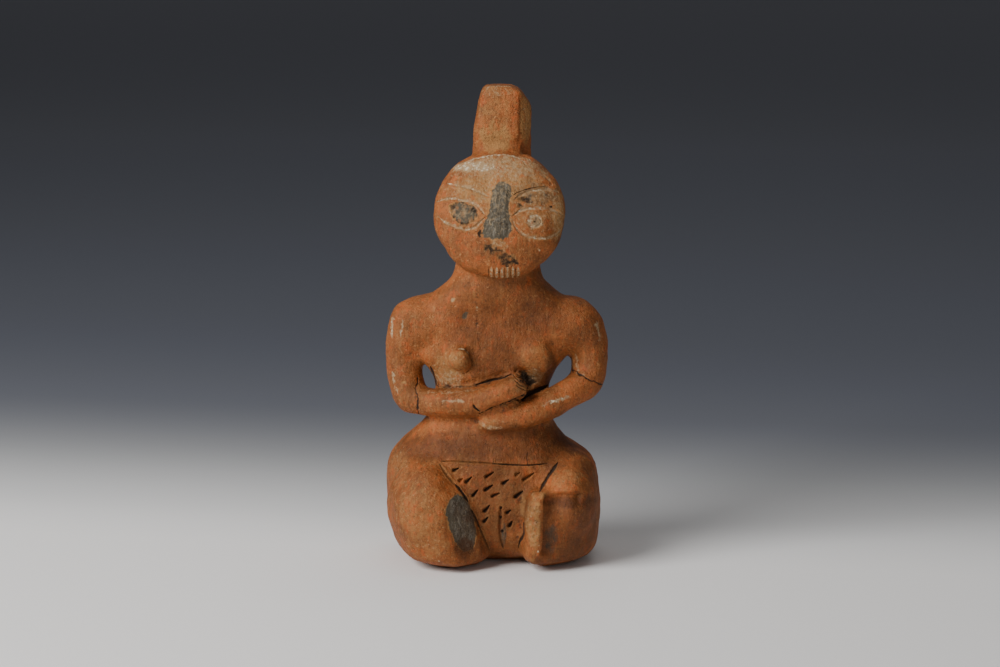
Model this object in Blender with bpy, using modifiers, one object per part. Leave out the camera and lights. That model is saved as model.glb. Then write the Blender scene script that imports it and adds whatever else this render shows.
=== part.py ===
"""A seated terracotta figure, hand-modelled in one piece of clay.

Each mass of the figure is a loft or a turned body, and the masses are fused and smoothed
as clay is, thinned to a few thousand faces, cut flat underneath and then incised.
Metres, +Z up. The figure faces -Y, and left and right are the viewer's.
"""

import math

import bmesh
import bpy
import numpy as np
from mathutils import Matrix, Vector
from mathutils.bvhtree import BVHTree

# The free forms keep their pose and proportions as shares of the height.
HEIGHT = 0.1992
HEIGHT_IN_UNITS = 199.2
UNIT = HEIGHT / HEIGHT_IN_UNITS

# Incised work, in metres: the tool's own sizes.
GROOVE_WIDTH = 0.0014
GROOVE_DEPTH = 0.0008
STAB_WIDTH = 0.0012
STAB_DEPTH = 0.0015
STROKE_WIDTH = 0.0009
TOOL_CLEARANCE = 0.0006

# How the clay masses are fused, as shares of the height.
CLAY_VOXEL = 1.1 * UNIT
SOFT_PASSES = 16
CRISP_PASSES = 4
FACES_AFTER_THINNING = 6600

ROUND = 40
CLAY_COLOUR = (0.42, 0.16, 0.06)
CLAY_ROUGHNESS = 0.6
NAME = "terracotta_figure"


def clear_scene():
    """Removes what the startup file holds."""
    for obj in list(bpy.data.objects):
        bpy.data.objects.remove(obj)


def object_of(name, bm):
    """A linked object with the mesh that bm holds."""
    bmesh.ops.recalc_face_normals(bm, faces=bm.faces)
    mesh = bpy.data.meshes.new(name)
    bm.to_mesh(mesh)
    bm.free()
    obj = bpy.data.objects.new(name, mesh)
    bpy.context.scene.collection.objects.link(obj)
    return obj


def evaluated_copy(obj, name):
    """A new object with obj's mesh after its modifiers; obj is removed."""
    graph = bpy.context.evaluated_depsgraph_get()
    mesh = bpy.data.meshes.new_from_object(obj.evaluated_get(graph))
    mesh.transform(obj.matrix_world)
    bpy.data.objects.remove(obj)
    copy = bpy.data.objects.new(name, mesh)
    bpy.context.scene.collection.objects.link(copy)
    return copy


def smooth_rows(rows, steps):
    """Rows of numbers with a smooth curve of in-between rows through them."""
    rows = np.array(rows, float)
    slopes = np.gradient(rows, axis=0)
    made = []
    for i in range(len(rows) - 1):
        for t in np.linspace(0, 1, steps, endpoint=False):
            a = 2 * t**3 - 3 * t**2 + 1
            b = t**3 - 2 * t**2 + t
            c = -2 * t**3 + 3 * t**2
            d = t**3 - t**2
            made.append(a * rows[i] + b * slopes[i] + c * rows[i + 1] + d * slopes[i + 1])
    made.append(rows[-1])
    return made


def loft(name, rings, endless=False):
    """A closed body through rings of points, either capped or run back to its start."""
    bm = bmesh.new()
    loops = [[bm.verts.new(point) for point in ring] for ring in rings]
    count = len(rings[0])
    joined = loops + loops[:1] if endless else loops
    for low, high in zip(joined, joined[1:]):
        for i in range(count):
            j = (i + 1) % count
            bm.faces.new((low[i], low[j], high[j], high[i]))
    if not endless:
        bm.faces.new(loops[0][::-1])
        bm.faces.new(loops[-1])
    return object_of(name, bm)


def unit_oval(power):
    """A round outline two units across; a power over 2 squares its corners."""
    outline = []
    for k in range(ROUND):
        angle = 2 * math.pi * k / ROUND
        cos, sin = math.cos(angle), math.sin(angle)
        x = math.copysign(abs(cos) ** (2 / power), cos)
        y = math.copysign(abs(sin) ** (2 / power), sin)
        outline.append((x, y))
    return outline


def unit_outline(corners):
    """A smooth closed outline through the corners given."""
    points = []
    count = len(corners)
    for i in range(count):
        a, b, c, d = (Vector(corners[(i + k) % count]) for k in (-1, 0, 1, 2))
        for t in (0, 0.25, 0.5, 0.75):
            bend = (2 * a - 5 * b + 4 * c - d) * t**2 + (3 * b - a - 3 * c + d) * t**3
            points.append(b + ((c - a) * t + bend) / 2)
    return points


def stack(name, rows, outline=None, steps=4):
    """A loft of level rings. A row is z, left, right, front, back and power.

    Each ring is an oval of that power, or else the outline fitted between the sides.
    """
    rings = []
    for row in smooth_rows(rows, steps):
        z, left, right, front, back = (value * UNIT for value in row[:5])
        ring = []
        for x, y in outline or unit_oval(row[5]):
            across = (left + right) / 2 + (right - left) / 2 * x
            along = (front + back) / 2 + (back - front) / 2 * y
            ring.append(Vector((across, along, z)))
        rings.append(ring)
    return loft(name, rings)


def roll(name, stations, count=24, steps=4, depth=1.0):
    """A roll of clay with round ends. A station is x, y, z and radius.

    The roll's thickness from front to back is depth times that across.
    """
    rows = [np.array(row) * UNIT for row in smooth_rows(stations, steps)]
    centres = [Vector(row[:3]) for row in rows]
    tangents = []
    for i in range(len(rows)):
        before, after = centres[max(i - 1, 0)], centres[min(i + 1, len(rows) - 1)]
        tangents.append((after - before).normalized())
    stations = [(c, t, row[3]) for c, t, row in zip(centres, tangents, rows)]
    turns = [math.pi / 2 * k / 5 for k in range(4, 0, -1)]
    first, last = stations[0], stations[-1]
    start = [
        (first[0] - first[1] * first[2] * math.sin(a), first[1], first[2] * math.cos(a))
        for a in turns
    ]
    end = [
        (last[0] + last[1] * last[2] * math.sin(a), last[1], last[2] * math.cos(a))
        for a in reversed(turns)
    ]
    rings = []
    for centre, tangent, radius in start + stations + end:
        across = tangent.cross(Vector((0, 1, 0))).normalized()
        forward = across.cross(tangent).normalized()
        ring = []
        for k in range(count):
            angle = 2 * math.pi * k / count
            side = across * math.cos(angle) + forward * math.sin(angle) * depth
            ring.append(centre + side * radius)
        rings.append(ring)
    return loft(name, rings)


def egg(name, centre, radii, turn=0.0, lean=0.0):
    """A ball stretched to three radii, turned about Z and then leant about X."""
    bm = bmesh.new()
    bmesh.ops.create_uvsphere(bm, u_segments=32, v_segments=20, radius=1)
    place = (
        Matrix.Translation(Vector(centre) * UNIT)
        @ Matrix.Rotation(math.radians(turn), 4, "Z")
        @ Matrix.Rotation(math.radians(lean), 4, "X")
        @ Matrix.Diagonal((*(Vector(radii) * UNIT), 1))
    )
    bmesh.ops.transform(bm, matrix=place, verts=bm.verts)
    return object_of(name, bm)


def fuse(name, masses, passes):
    """The masses as one skin of clay, rubbed smooth."""
    bm = bmesh.new()
    for mass in masses:
        bm.from_mesh(mass.data)
        bpy.data.objects.remove(mass)
    whole = object_of(name, bm)
    skin = whole.modifiers.new("one skin", "REMESH")
    skin.mode = "VOXEL"
    skin.voxel_size = CLAY_VOXEL
    rub = whole.modifiers.new("rubbed", "SMOOTH")
    rub.factor = 0.5
    rub.iterations = passes
    return evaluated_copy(whole, name)


# The trunk: seat, waist, chest and neck, as one stack of ovals.
TRUNK = (
    (-4, -28, 32, -10, 26, 2.3),
    (0, -32, 36.5, -12.5, 29, 2.3),
    (4, -38, 41, -18.5, 32.5, 2.3),
    (10, -42, 43.4, -23.5, 35.2, 2.3),
    (18, -44.8, 44.6, -25, 36.4, 2.3),
    (27, -46.0, 44.4, -25, 35.8, 2.3),
    (36, -46.0, 43.8, -24, 33, 2.3),
    (43, -44.6, 40.6, -22.5, 28.5, 2.3),
    (46, -42.9, 36.5, -21.7, 26, 2.3),
    (49, -40.4, 32.0, -21, 24, 2.3),
    (54, -35, 27.2, -19.5, 20.5, 2.3),
    (60, -29, 23.8, -17.5, 17, 2.3),
    (66, -25, 22.2, -15.5, 15, 2.4),
    (73, -24, 22.2, -14.5, 14, 2.5),
    (79, -25.8, 24.2, -14.5, 14, 2.6),
    (83.5, -29, 27, -14.5, 14, 2.6),
    (88, -32, 30, -14.5, 14, 2.6),
    (96, -33, 31.5, -14, 14, 2.6),
    (104, -32, 31.0, -13, 13.5, 2.5),
    (110, -28.7, 29.8, -14.5, 13, 2.4),
    (114, -24.6, 26.2, -15.5, 12.5, 2.3),
    (118, -20.2, 21.2, -16.5, 12.5, 2.2),
    (122, -17.2, 19.0, -17, 12.5, 2.1),
    (127, -15.8, 19.0, -16.5, 12.5, 2),
    (134, -14.7, 18.6, -14, 12.5, 2),
    (142, -14, 17.5, -11, 13, 2),
    (150, -13, 16, -9, 13, 2),
)

# Each leg is a stub that ends in a knee, blunt as a prow. Its outline on plan runs from
# the crease by the lap round the front to the hip, and its rows end at a ledge on the knee.
LEFT_LEG_PLAN = (
    (0.97, -0.40),
    (0.84, -0.68),
    (0.44, -0.94),
    (0.10, -1.00),
    (-0.38, -0.88),
    (-0.79, -0.50),
    (-1.00, 0.20),
    (-0.74, 0.90),
    (0.00, 1.00),
    (0.85, 0.90),
    (1.00, 0.24),
)
LEFT_LEG = (
    (-4, -30, -8, -18, 4),
    (0, -33.5, -5, -26.5, 5),
    (3, -37.2, -3, -32.2, 6),
    (8, -41, -3, -35, 6),
    (18, -44.6, -6, -36.4, 6),
    (27, -45.4, -9, -36.2, 6),
    (31, -44.6, -11.5, -35.4, 6),
    (34, -43, -13.5, -33.5, 5),
    (36.4, -40, -17.5, -29, 3),
)
RIGHT_LEG_PLAN = (
    (-0.97, -0.46),
    (-0.92, -0.76),
    (-0.76, -0.97),
    (-0.56, -1.00),
    (-0.42, -0.93),
    (0.22, -0.72),
    (0.72, -0.34),
    (0.99, 0.26),
    (0.80, 0.90),
    (0.00, 1.00),
    (-0.85, 0.90),
    (-1.00, 0.21),
)
RIGHT_LEG = (
    (-4, 18, 33, -18, 4),
    (0, 15.5, 37, -25, 5),
    (3, 12.6, 40.4, -31.2, 6),
    (8, 10.6, 43, -33.8, 6),
    (18, 10.4, 44.3, -34.8, 6),
    (27, 11.3, 44.2, -34.8, 6),
    (31.5, 12.2, 43.6, -34.5, 6),
    (34, 13.4, 42.8, -33.4, 5),
    (35, 15.2, 41.6, -31, 4),
)
# The thighs' tops: centre and radii.
LEFT_THIGH = ((-28, -8, 27.5), (15.5, 27, 20.5))
RIGHT_THIGH = ((30.5, -8, 27), (13.5, 26, 20.5))
RIGHT_THIGH_RIDGE = (
    (32.5, -10, 38, 10.0),
    (29.5, -17, 33.4, 9.2),
    (26.5, -23, 28.4, 8.6),
)

# An upper arm's thickness from front to back, as a share of that across.
ARM_DEPTH = 1.1
# Rolls of clay: x, y, z and radius at each station.
LEFT_UPPER_ARM = (
    (-27, 0, 100.5, 11),
    (-33.2, 0, 100, 10.6),
    (-37.4, 0, 93.5, 8.8),
    (-38.8, -0.5, 86, 7.5),
    (-38.3, -2, 78, 7.1),
    (-36.1, -4, 70.0, 7.0),
)
LEFT_ARMPIT = (
    (-34, -1, 100, 10.5),
    (-32.6, -2.5, 93.4, 8.4),
    (-31.0, -3, 88.2, 5.2),
)
RIGHT_ARMPIT = (
    (34, -1, 100, 10.5),
    (33.2, -2.5, 96, 8.4),
    (32.0, -3, 92.4, 5.0),
)
SHOULDERS = (
    (-31, 0, 99.5, 12.2),
    (0, 0, 100, 13),
    (31, 0, 99.5, 12.2),
)
LEFT_FOREARM = (
    (-35, -5, 68.6, 6.5),
    (-29, -9.5, 68.2, 6.0),
    (-20, -14.5, 68.4, 5.9),
    (-10, -17.5, 69.4, 5.9),
)
LEFT_HAND = (
    (-9.5, -18, 69.2, 5.9),
    (-3, -19, 71.2, 5.9),
    (3.5, -19.5, 73.7, 5.8),
    (8.6, -19.5, 75.8, 5.2),
)
RIGHT_UPPER_ARM = (
    (27, 0, 100.5, 11),
    (34, 0, 100, 10.6),
    (38.5, 0, 94, 8.8),
    (39.8, -0.5, 86, 7.8),
    (39.8, -2, 80, 7.4),
    (38.8, -4, 75.6, 7.0),
)
RIGHT_FOREARM = (
    (38.3, -5, 75.6, 6.9),
    (31.8, -9, 72.0, 6.3),
    (22, -13.5, 67.4, 6.2),
    (12, -17, 63.6, 5.6),
    (3, -18.5, 61.2, 4.8),
    (-2.6, -18.5, 60.6, 4.2),
)

# Clay packed in behind the forearms, and the breasts: centre and radii.
LEFT_BACKING = ((-20, -8.5, 66.5), (8, 5.5, 7))
MIDDLE_BACKING = ((11, -9, 71), (6, 4.5, 5))
RIGHT_BACKING = ((20, -8.5, 66), (7, 5.5, 7.5))
LEFT_BREAST = ((-14.6, -13.2, 87.4), (5.6, 6.4, 5.4))
RIGHT_BREAST = ((16.4, -11.6, 87.8), (7.4, 5.2, 8.0))

DISC_RADIUS = 27.4
DISC_THICKNESS = 11
DISC_POWER = 2.5
DISC_CENTRE = (1.9, -9, 147.4)
DISC_LEAN = 18
HEAD_BACK = ((1.8, -2.5, 147), (24.5, 13.5, 24.5))
NOSE_STUMP = ((1.4, -17.6, 150.2), (5.4, 3.6, 15))
NOSE_BREAK = ((1.4, -20.5, 151.1), (0, -0.951, 0.309))

HEAD_STUB = (
    (148, -13, 17, -8, 14, 2.2),
    (156, -11.5, 16, -5, 13, 2.6),
    (165, -10.0, 15.3, -2.6, 12.5, 3),
    (172, -9.4, 15.1, -2.2, 12.6, 3.6),
    (180, -8.9, 15.1, -2.3, 12.8, 3.8),
    (188, -7.7, 15.1, -2.3, 12.8, 3.8),
    (193, -6.9, 15.0, -2.1, 12.8, 3.6),
    (197, -5.8, 14.6, -1.7, 12.5, 3.4),
    (199.2, -4.2, 13.4, -0.6, 11.4, 3),
)
# Flats on the stub: a point on each and the way that it faces.
STUB_FLATS = (
    ((12.6, 0.9, 180), (0.82, -0.57, 0)),
    ((8.2, 0, 198.2), (0.42, -0.05, 0.9)),
    ((12.5, 0, 194.6), (0.79, 0, 0.61)),
)
# The flat that the figure stands on.
UNDERSIDE = ((0, 0, 0), (0, 0, -1))
# Where the front of the left leg broke away.
LEG_BREAK = ((-14.1, -32.0, 22), (0.50, -0.86, 0.03))

# The share of its width that a gouge keeps at its ends.
POINTED = 0.3

# The marks are laid out on upright sheets in front of the figure, as x and z, and carried
# back along SIGHT until they meet the clay. A layout is the sheet's y and its marks.
SIGHT = Vector((0, math.cos(math.radians(10)), -math.sin(math.radians(10))))

FACE_GROOVES = (
    -24,
    (
        ((-16.3, 162.2), (-11, 161.4), (-6.1, 158.9), (-2.4, 156.3)),
        ((4.9, 155.0), (8.9, 158.1), (14.2, 160.1), (20.3, 160.5), (26.0, 159.0)),
        ((-23.6, 153.8), (-20.3, 155.2), (-16.3, 156), (-11.8, 155.2), (-7.7, 153.2), (-3.9, 149.6)),
        ((-22.8, 149.5), (-19.2, 146.2), (-15.1, 143.3), (-11, 142.1), (-6.9, 142.9), (-3.9, 146)),
        ((7.2, 148.9), (10.2, 151.1), (15.1, 152.1), (20.4, 151.5), (24.8, 149.5), (28, 147.6)),
        ((7.2, 145.3), (9.8, 142.5), (14.3, 140.6), (19.2, 140.4), (23.7, 142.1), (27.3, 145)),
    ),
)
PUPIL = (-24, 16.7, 146.3, 2.6)
PUPIL_SIDES = 9
LAP_GROOVES = (
    -21,
    (
        ((-22.4, 44.7), (-10.4, 44.7), (2.1, 43.9), (14.5, 43.4), (20.7, 44.3)),
        (
            (-22.7, 43.6),
            (-20.9, 41.1),
            (-19, 38.4),
            (-14.9, 33.7),
            (-11.2, 28.2),
            (-7.9, 21.4),
            (-4.6, 12.9),
            (-3.3, 9.4),
            (-2.1, 6.4),
        ),
        ((26.1, 45.2), (23.2, 40.9), (20.7, 36.7), (19.6, 34.9)),
        ((10.9, 24.5), (11.0, 16.8), (10.6, 10.8), (10.0, 6.5)),
        ((2.3, 26.8), (2.7, 21.7), (2.9, 16.5), (2.9, 10.6)),
    ),
)
# Stabs in the lap: x, z, the slant in degrees and the length.
LAP_STABS = (
    (-16.1, 41.8, 25, 2.1),
    (-10.8, 37.5, 45, 2.5),
    (-2.1, 39.6, 35, 3.1),
    (-2.5, 34.1, 35, 3.3),
    (-8.1, 32.0, 50, 2.7),
    (0.4, 31.1, 25, 2.9),
    (4.6, 36.7, 35, 2.1),
    (14.1, 38.8, 32, 4.9),
    (10.0, 31.4, 40, 3.7),
    (-3.3, 25.4, 50, 2.9),
    (-3.7, 20.7, 50, 2.1),
    (5.8, 24.1, 35, 1.5),
    (6.6, 18.8, 60, 1.9),
)
TOOTH_STROKES = (-2.6, -0.4, 1.8, 4.0, 6.2, 8.4)
TEETH = (-25, tuple(((x, 127.4), (x, 126.2), (x, 125.0), (x, 123.8)) for x in TOOTH_STROKES))
ARM_GROOVES = (
    -26,
    (
        ((-12.5, 77.2), (-6, 78.7), (0.5, 81.0), (4.5, 82.6)),
        ((-7.5, 66.5), (-2, 68.6), (4, 70.6), (10, 73.0)),
    ),
)
FINGERS = (
    -26,
    (
        ((4.8, 77.4), (7.2, 78.6), (9.4, 79.6)),
        ((5.6, 75.8), (8.6, 77.0), (11.6, 77.9)),
        ((6.2, 74.2), (8.6, 74.7), (11.0, 75.2)),
    ),
)


def planed(obj, flats):
    """The object with all that lies beyond each flat taken off."""
    bm = bmesh.new()
    bm.from_mesh(obj.data)
    for point, normal in flats:
        everything = bm.verts[:] + bm.edges[:] + bm.faces[:]
        place = Vector(point) * UNIT
        cut = bmesh.ops.bisect_plane(
            bm, geom=everything, plane_co=place, plane_no=normal, clear_outer=True
        )
        edges = [e for e in cut["geom_cut"] if isinstance(e, bmesh.types.BMEdge)]
        bmesh.ops.contextual_create(bm, geom=edges)
    bm.to_mesh(obj.data)
    bm.free()
    return obj


def disc():
    """The face: a thick lens, turned about the axis that it looks along."""
    steps = 16
    curve = bmesh.new()
    rim = []
    for k in range(steps + 1):
        angle = math.pi * (0.5 - k / steps)
        out = DISC_RADIUS * abs(math.cos(angle)) ** (2 / DISC_POWER)
        ahead = math.copysign(abs(math.sin(angle)) ** (2 / DISC_POWER), math.sin(angle))
        rim.append(curve.verts.new((out * UNIT, 0, ahead * DISC_THICKNESS * UNIT)))
    for a, b in zip(rim, rim[1:]):
        curve.edges.new((a, b))
    mesh = bpy.data.meshes.new("disc profile")
    curve.to_mesh(mesh)
    curve.free()
    lens = bpy.data.objects.new("disc", mesh)
    bpy.context.scene.collection.objects.link(lens)
    turned = lens.modifiers.new("turned", "SCREW")
    turned.steps = turned.render_steps = 48
    turned.use_merge_vertices = True
    turned.merge_threshold = 0.00001
    lens = evaluated_copy(lens, "disc")
    looks_ahead = Matrix.Rotation(math.radians(90 - DISC_LEAN), 4, "X")
    lens.data.transform(Matrix.Translation(Vector(DISC_CENTRE) * UNIT) @ looks_ahead)
    return lens


def soft_masses():
    """What the maker rubbed into one smooth body."""
    return [
        stack("trunk", TRUNK),
        roll("shoulders", SHOULDERS),
        roll("left armpit", LEFT_ARMPIT),
        roll("right armpit", RIGHT_ARMPIT),
        roll("left upper arm", LEFT_UPPER_ARM, depth=ARM_DEPTH),
        roll("right upper arm", RIGHT_UPPER_ARM, depth=ARM_DEPTH),
        egg("left thigh", *LEFT_THIGH),
        egg("right thigh", *RIGHT_THIGH),
        roll("right thigh ridge", RIGHT_THIGH_RIDGE),
        egg("left backing", *LEFT_BACKING),
        egg("middle backing", *MIDDLE_BACKING),
        egg("right backing", *RIGHT_BACKING),
        egg("head back", *HEAD_BACK),
        stack("head stub", HEAD_STUB[:3]),
    ]


def crisp_masses():
    """What was added afterwards and keeps its edges."""
    return [
        planed(stack("left leg", LEFT_LEG, unit_outline(LEFT_LEG_PLAN)), [LEG_BREAK]),
        stack("right leg", RIGHT_LEG, unit_outline(RIGHT_LEG_PLAN)),
        roll("left forearm", LEFT_FOREARM),
        roll("left hand", LEFT_HAND),
        roll("right forearm", RIGHT_FOREARM),
        disc(),
        planed(stack("stub", HEAD_STUB), STUB_FLATS),
        planed(egg("nose stump", *NOSE_STUMP, lean=-DISC_LEAN), [NOSE_BREAK]),
        egg("left breast", *LEFT_BREAST),
        egg("right breast", *RIGHT_BREAST),
    ]


def thinned(obj, faces):
    """The object with its faces reduced to about the number given."""
    thin = obj.modifiers.new("thinned", "DECIMATE")
    thin.ratio = faces / sum(len(face.vertices) - 2 for face in obj.data.polygons)
    thin.use_collapse_triangulate = True
    return evaluated_copy(obj, obj.name)


def struck(tree, sheet, x, z):
    """Where a mark laid out at x and z on the sheet meets the clay."""
    start = Vector((x, sheet, z)) * UNIT - SIGHT * 50 * UNIT
    return tree.ray_cast(start, SIGHT)[0]


def gouge(name, points, width, depth, endless=False):
    """A three-sided gouge through the points, of that width where it enters the clay."""
    half = width / 2 * (depth + TOOL_CLEARANCE) / depth
    last = len(points) - 1
    rings = []
    for i, point in enumerate(points):
        if endless:
            after, before = points[(i + 1) % len(points)], points[i - 1]
        else:
            after, before = points[min(i + 1, last)], points[max(i - 1, 0)]
        across = (after - before).cross(SIGHT).normalized()
        end = POINTED if i in (0, last) and not endless else 1
        outer = point - SIGHT * TOOL_CLEARANCE
        tip = point + SIGHT * depth * end
        rings.append([tip, outer + across * half * end, outer - across * half * end])
    return loft(name, rings, endless)


def stab_path(x, z, slant, length):
    """The two ends and the middle of a stab."""
    turn = math.radians(slant)
    shift = [length / 2 * k for k in (-1, 0, 1)]
    return [(x + k * math.cos(turn), z + k * math.sin(turn)) for k in shift]


def ring_path(x, z, radius, count):
    """Points round a circle, the last as near to the first as to the one before."""
    angles = [2 * math.pi * k / count for k in range(count)]
    return [(x + radius * math.cos(a), z + radius * math.sin(a)) for a in angles]


def gouges(tree):
    """Every gouge, each as its own cutter."""
    cuts = []
    for sheet, paths in (FACE_GROOVES, LAP_GROOVES, ARM_GROOVES):
        cuts += [(sheet, path, GROOVE_WIDTH, GROOVE_DEPTH, False) for path in paths]
    for stab in LAP_STABS:
        cuts.append((LAP_GROOVES[0], stab_path(*stab), STAB_WIDTH, STAB_DEPTH, False))
    for sheet, paths in (TEETH, FINGERS):
        cuts += [(sheet, path, STROKE_WIDTH, GROOVE_DEPTH, False) for path in paths]
    sheet, x, z, radius = PUPIL
    cuts.append((sheet, ring_path(x, z, radius, PUPIL_SIDES), STROKE_WIDTH, GROOVE_DEPTH, True))
    made = []
    for sheet, path, width, depth, endless in cuts:
        points = [struck(tree, sheet, x, z) for x, z in path]
        made.append(gouge("gouge", points, width, depth, endless))
    return made


def hidden_collection(name, objects):
    """A collection of cutters, drawn as wire and left out of a render."""
    collection = bpy.data.collections.new(name)
    collection.hide_render = True
    bpy.context.scene.collection.children.link(collection)
    for obj in objects:
        bpy.context.scene.collection.objects.unlink(obj)
        collection.objects.link(obj)
        obj.hide_render = True
        obj.display_type = "WIRE"
    return collection


def terracotta():
    """Burnished orange-brown fired clay."""
    material = bpy.data.materials.new("terracotta")
    material.use_nodes = True
    shader = material.node_tree.nodes["Principled BSDF"]
    shader.inputs["Base Color"].default_value = (*CLAY_COLOUR, 1)
    shader.inputs["Roughness"].default_value = CLAY_ROUGHNESS
    return material


def main():
    clear_scene()
    body = fuse("body", soft_masses(), SOFT_PASSES)
    figure = fuse(NAME, [body, *crisp_masses()], CRISP_PASSES)
    figure = planed(thinned(figure, FACES_AFTER_THINNING), [UNDERSIDE])
    clay = bmesh.new()
    clay.from_mesh(figure.data)
    cutters = gouges(BVHTree.FromBMesh(clay))
    clay.free()
    incised = figure.modifiers.new("incised", "BOOLEAN")
    incised.operand_type = "COLLECTION"
    incised.collection = hidden_collection("gouges", cutters)
    incised.solver = "EXACT"
    figure.data.materials.append(terracotta())
    home = bpy.data.collections.new("terracotta figure")
    bpy.context.scene.collection.children.link(home)
    bpy.context.scene.collection.objects.unlink(figure)
    home.objects.link(figure)


main()
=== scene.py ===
import math

import bmesh
import bpy
import numpy as np
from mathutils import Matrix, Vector
from mathutils.bvhtree import BVHTree


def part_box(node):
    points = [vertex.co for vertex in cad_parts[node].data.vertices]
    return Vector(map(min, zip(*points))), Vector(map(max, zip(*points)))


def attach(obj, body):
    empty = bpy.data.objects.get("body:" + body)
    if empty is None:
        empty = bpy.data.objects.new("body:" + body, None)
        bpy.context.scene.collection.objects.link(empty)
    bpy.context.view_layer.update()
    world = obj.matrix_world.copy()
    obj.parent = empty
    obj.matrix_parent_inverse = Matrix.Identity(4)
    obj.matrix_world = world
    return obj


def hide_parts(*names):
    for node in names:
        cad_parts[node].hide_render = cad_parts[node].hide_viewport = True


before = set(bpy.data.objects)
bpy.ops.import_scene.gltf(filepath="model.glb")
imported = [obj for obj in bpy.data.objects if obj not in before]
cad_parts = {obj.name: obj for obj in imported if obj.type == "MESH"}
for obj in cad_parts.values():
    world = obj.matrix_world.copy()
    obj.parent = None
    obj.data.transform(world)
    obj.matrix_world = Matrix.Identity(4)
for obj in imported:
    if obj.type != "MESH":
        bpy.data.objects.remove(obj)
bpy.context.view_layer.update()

# The figure: one piece of solid clay, built up from rolls and lumps that were rubbed into
# each other, burnished with a pebble while leather-hard and fired in an open hearth. Here
# a copy of the solid is given one even skin and rubbed smooth, so that it keeps its form.
MM = 0.001
TOUCHING = 0.001 * MM
SKIN_GRAIN = 1.15 * MM
RUBBING_PASSES = 4
solid = bpy.data.objects["terracotta_figure"]
low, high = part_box("terracotta_figure")

lump = bmesh.new()
lump.from_mesh(solid.data)
bmesh.ops.remove_doubles(lump, verts=lump.verts, dist=TOUCHING)
mesh = bpy.data.meshes.new("clay figure")
lump.to_mesh(mesh)
lump.free()
figure = bpy.data.objects.new("clay_figure", mesh)
bpy.context.scene.collection.objects.link(figure)
skin = figure.modifiers.new("one skin", "REMESH")
skin.mode = "VOXEL"
skin.voxel_size = SKIN_GRAIN
rubbed = figure.modifiers.new("rubbed", "SMOOTH")
rubbed.factor = 0.5
rubbed.iterations = RUBBING_PASSES
bpy.context.view_layer.update()
seen = figure.evaluated_get(bpy.context.evaluated_depsgraph_get())
clay = bmesh.new()
clay.from_mesh(seen.to_mesh())
seen.to_mesh_clear()
figure.modifiers.clear()

# The marks on the figure are laid out in millimetres on upright sheets close to its skin,
# each told by its y, and carried along the line of sight, ten degrees down, on to the clay.
DOWN = math.radians(10)
SIGHT = np.array((0, math.cos(DOWN), -math.sin(DOWN)))


def on_sheet(places, sheet):
    """The places, in millimetres, as x and height on the sheet at that y."""
    return np.column_stack((places[:, 0], places[:, 2] + (places[:, 1] - sheet) * math.tan(DOWN)))


def from_line(points, line):
    """How far each point is from a line through the places given, and how far along it."""
    line = np.array(line, float)
    runs = np.linalg.norm(np.diff(line, axis=0), axis=1)
    starts = np.concatenate(([0], np.cumsum(runs)))
    nearest = np.full(len(points), np.inf)
    along = np.zeros(len(points))
    for a, b, run, start in zip(line, line[1:], runs, starts):
        share = np.clip((points - a) @ (b - a) / run**2, 0, 1)
        gap = np.linalg.norm(points - a - share[:, None] * (b - a), axis=1)
        closer = gap < nearest
        nearest[closer] = gap[closer]
        along[closer] = (start + share * run)[closer] / starts[-1]
    return nearest, along


def curve_through(corners):
    """A smooth line through the corners, four steps to each stretch."""
    corners = [np.array(c, float) for c in corners]
    corners = [2 * corners[0] - corners[1], *corners, 2 * corners[-1] - corners[-2]]
    made = []
    for a, b, c, d in zip(corners, corners[1:], corners[2:], corners[3:]):
        for t in (0, 0.25, 0.5, 0.75):
            bend = (2 * a - 5 * b + 4 * c - d) * t**2 + (3 * b - a - 3 * c + d) * t**3
            made.append(b + ((c - a) * t + bend) / 2)
    made.append(corners[-2])
    return made


def stab(x, z, slant, length):
    """The line of one stab of a pointed stick: its middle, slant in degrees and length."""
    turn = math.radians(slant)
    reach = np.array((math.cos(turn), math.sin(turn))) * length / 2
    return [(x, z) - reach, (x, z) + reach]


# A mark is kept as its sheet, line, width and depth, how much pale lime and dark earth fill
# it, and whether it was stabbed and so thins from its first end to its last.
marks = []


def mark(sheet, line, width, depth, pale=0, dark=0, stabbed=False):
    """Keeps one mark of the stick. It stands proud where its depth is below nought."""
    marks.append((sheet, line, width, depth, pale, dark, stabbed))


# The face: brows, almond eyes and the ring of a pupil drawn with a pointed stick, and a
# row of strokes for teeth on the lower rim. Pale lime has stayed in these lines.
FACE = -24
for brow_or_eye in (
    # The two brows.
    ((-19.9, 162.4), (-16.3, 161.5), (-12.2, 160.5), (-6.5, 158.5), (-2.4, 156.4)),
    ((8.0, 155.4), (10.6, 157.3), (15.5, 159.1), (22.0, 159.7), (26.0, 158.7)),
    # The upper and lower lids of the left eye, and of the right eye.
    ((-23.8, 154.6), (-18.7, 156.0), (-12.2, 154.8), (-7.3, 152.8), (-3.9, 148.5)),
    ((-23.5, 148.4), (-19.6, 145.4), (-13.9, 143.3), (-9.0, 143.3), (-3.9, 148.0)),
    ((7.0, 148.3), (10.6, 150.7), (17.1, 151.8), (23.6, 151.1), (28.0, 149.0)),
    ((7.3, 146.2), (8.2, 144.1), (12.2, 140.4), (18.8, 139.2), (24.5, 140.4), (28.0, 144.0)),
):
    mark(FACE, curve_through(brow_or_eye), width=1.7, depth=0.55, pale=0.47)
# A dark line along the upper side of the right brow, painted shadow of the groove's upper
# wall, and a pale scratch beside the rim.
brow_groove_shadow = ((7.3, 156.9), (8.9, 158.1), (12.2, 159.3), (17.1, 160.5), (21.1, 161.1))
mark(FACE, brow_groove_shadow, width=0.7, depth=0.3, dark=0.75)
rim_scratch = ((20.3, 165.4), (22.4, 163.4), (23.6, 161.0))
mark(FACE, rim_scratch, width=1.0, depth=0.25, pale=0.35)
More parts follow.
